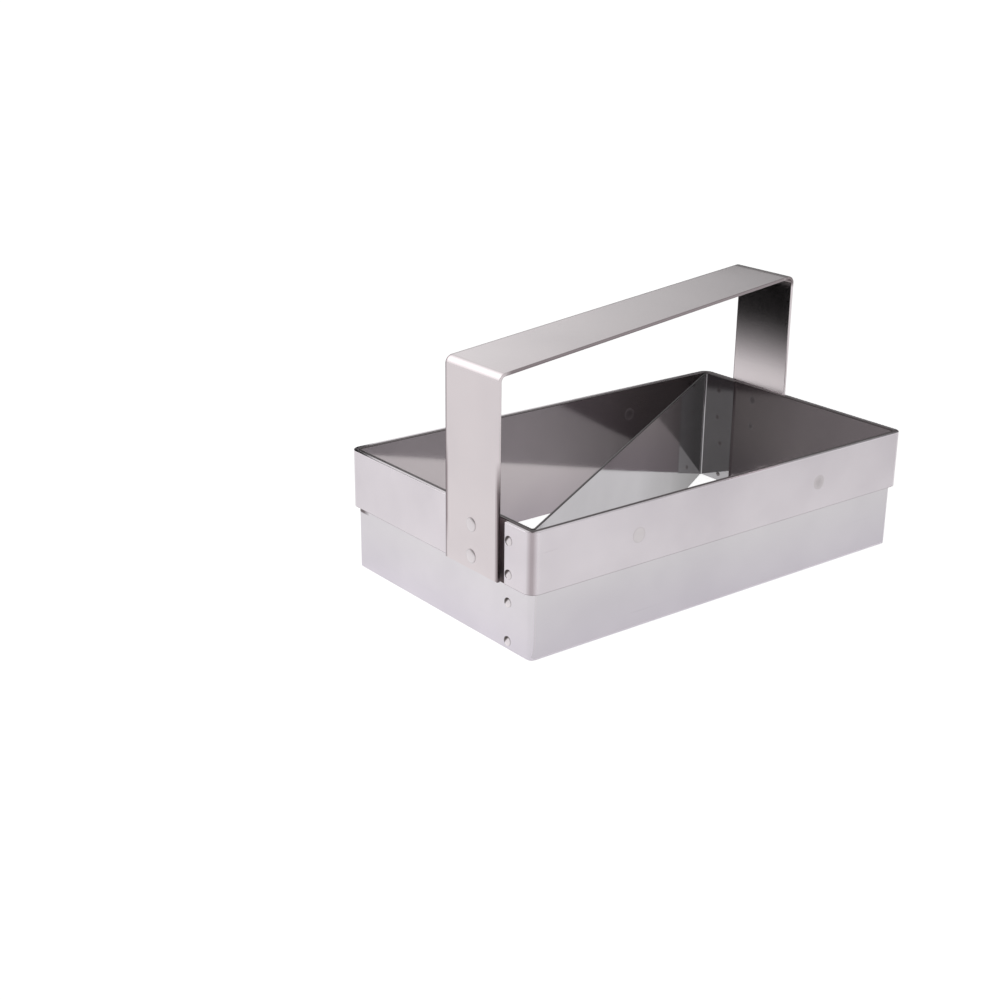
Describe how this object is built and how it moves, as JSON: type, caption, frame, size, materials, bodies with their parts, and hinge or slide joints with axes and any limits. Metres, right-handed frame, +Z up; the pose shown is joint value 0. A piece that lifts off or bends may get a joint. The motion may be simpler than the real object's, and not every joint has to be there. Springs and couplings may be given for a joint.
{
  "type": "pastry triangle press cutter",
  "caption": "Rectangular stainless hand press cutter with a stiffened rim, a diagonal blade that parts it into triangles, and an aslant strap handle over it.",
  "frame": {"origin": "middle of the frame, on the plane of the cutting edges", "axes": "+X along the frame's length, +Y along its width, +Z up from the cutting edges to the handle"},
  "size_m": [0.2036, 0.1174, 0.1045],
  "materials": {
    "cutting_steel": "smooth cold-rolled stainless sheet with a soft mirror",
    "band_steel": "satin stainless strip with fine lengthwise grain",
    "blade_steel": "smooth cold-rolled stainless sheet with a soft mirror",
    "strap_steel": "satin stainless strap with fine lengthwise grain",
    "rivet_steel": "hammered and ground stainless rivets"
  },
  "bodies": {
    "root": {"cutting_band": "cutting_steel", "reinforcing_band": "band_steel", "diagonal_blade": "blade_steel", "strap_handle": "strap_steel", "near_handle_rivet_lower": "rivet_steel", "near_handle_rivet_upper": "rivet_steel", "far_handle_rivet_lower": "rivet_steel", "far_handle_rivet_upper": "rivet_steel", "near_tab_rivet_foot": "rivet_steel", "near_tab_rivet_middle": "rivet_steel", "near_tab_rivet_band_lower": "rivet_steel", "near_tab_rivet_band_upper": "rivet_steel", "far_tab_rivet_foot": "rivet_steel", "far_tab_rivet_middle": "rivet_steel", "far_tab_rivet_band_lower": "rivet_steel", "far_tab_rivet_band_upper": "rivet_steel", "front_band_rivet_left": "rivet_steel", "front_band_rivet_right": "rivet_steel", "back_band_rivet_left": "rivet_steel", "back_band_rivet_right": "rivet_steel"}
  },
  "joints": []
}
